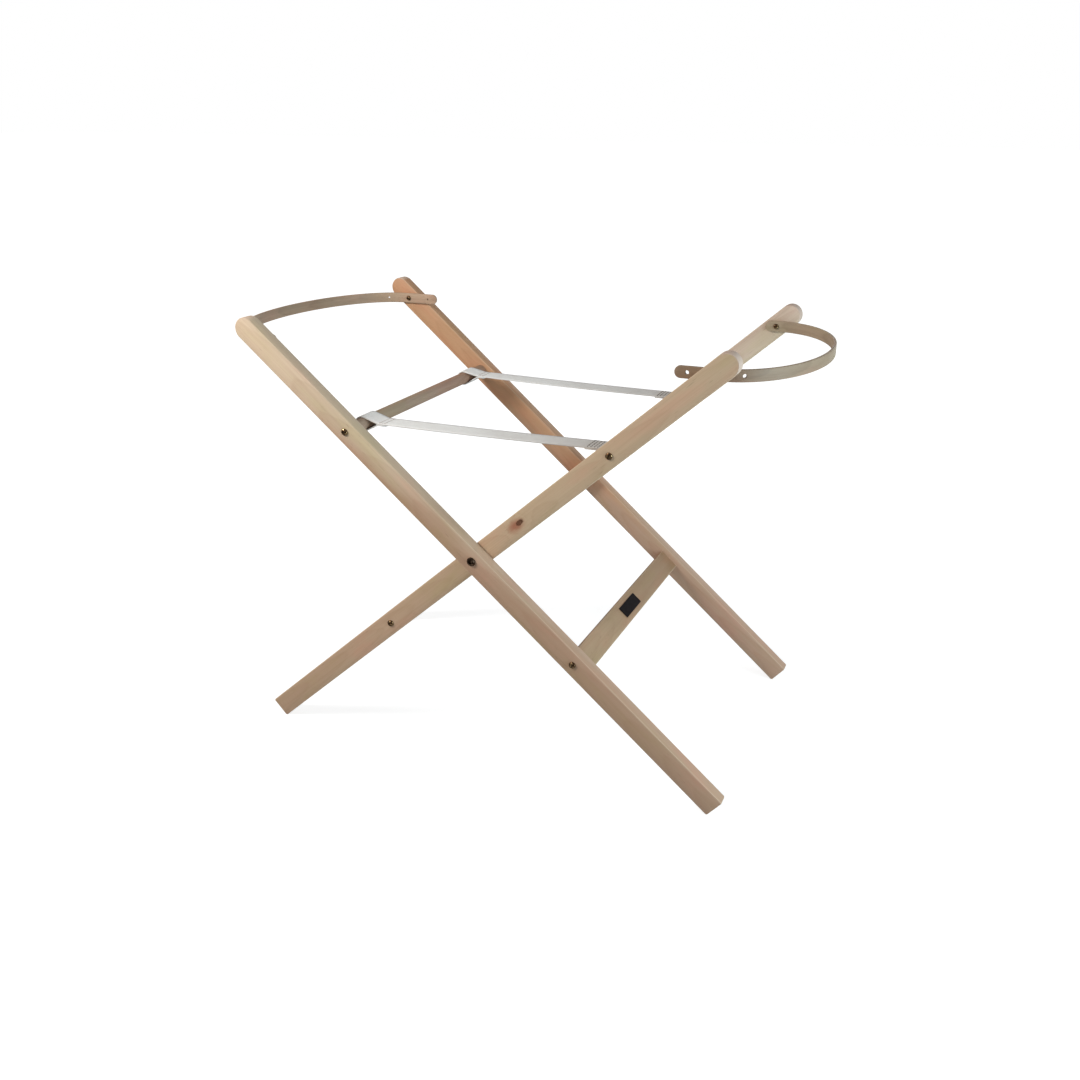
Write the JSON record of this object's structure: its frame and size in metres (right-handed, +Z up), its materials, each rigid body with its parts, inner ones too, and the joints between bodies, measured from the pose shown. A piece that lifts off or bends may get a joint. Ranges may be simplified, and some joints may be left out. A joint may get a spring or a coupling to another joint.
{
  "type": "folding bassinet stand",
  "caption": "Folding X-frame stand in natural pine with cotton webbing straps and swivelling bentwood hoops, carries a Moses basket between its upper legs.",
  "frame": {"origin": "on the floor, under the middle of the stand", "axes": "+X along the basket, from the outer frame's tops to the inner frame's tops; +Y from the front legs to the back legs; +Z up"},
  "size_m": [0.7608, 0.407, 0.5593],
  "materials": {
    "pine": "bare or satin-sealed pine",
    "bentwood": "steam-bent strip, sanded",
    "beech": "raw",
    "bronze_screw": "antique brass plated",
    "dark_steel": "dark plated",
    "zinc_steel": "zinc plated",
    "cotton_webbing": "plain woven tape",
    "black_patch": "matt, blank"
  },
  "bodies": {
    "outer_frame": {"outer_leg_front": "pine", "outer_upper_screw_front": "bronze_screw", "outer_lower_screw_front": "bronze_screw", "outer_lower_dowel_front": "beech", "outer_leg_back": "pine", "outer_upper_screw_back": "bronze_screw", "outer_lower_screw_back": "bronze_screw", "outer_lower_dowel_back": "beech", "outer_upper_rail": "pine", "outer_lower_rail": "pine", "pivot_bolt_front": "dark_steel", "pivot_spacer_front": "dark_steel", "pivot_washer_front": "zinc_steel", "pivot_nut_front": "zinc_steel", "left_hoop_screw_front": "bronze_screw", "strap_front": "cotton_webbing", "pivot_bolt_back": "dark_steel", "pivot_spacer_back": "dark_steel", "pivot_washer_back": "zinc_steel", "pivot_nut_back": "zinc_steel", "left_hoop_screw_back": "bronze_screw", "strap_back": "cotton_webbing", "rail_patch": "black_patch"},
    "inner_frame": {"inner_leg_front": "pine", "inner_upper_screw_front": "bronze_screw", "inner_lower_screw_front": "bronze_screw", "inner_lower_dowel_front": "beech", "inner_leg_back": "pine", "inner_upper_screw_back": "bronze_screw", "inner_lower_screw_back": "bronze_screw", "inner_lower_dowel_back": "beech", "inner_upper_rail": "pine", "inner_lower_rail": "pine", "right_hoop_screw_front": "bronze_screw", "right_hoop_screw_back": "bronze_screw"},
    "left_hoop": {"left_hoop": "bentwood"},
    "right_hoop": {"right_hoop": "bentwood"}
  },
  "joints": [
    {"name": "fold", "type": "hinge", "parent": "outer_frame", "child": "inner_frame", "pos_m": [0, 0, 0.28698], "axis": [0, -1, 0], "range_deg": [0, 83.5], "deforming": ["strap_front", "strap_back"]},
    {"name": "left_hoop_swivel", "type": "hinge", "parent": "outer_frame", "child": "left_hoop", "pos_m": [-0.27995, 0, 0.53119], "axis": [0, 1, 0], "range_deg": [-90, 41]},
    {"name": "right_hoop_swivel", "type": "hinge", "parent": "inner_frame", "child": "right_hoop", "pos_m": [0.27995, 0, 0.53119], "axis": [0, -1, 0], "range_deg": [-90, 41]}
  ]
}
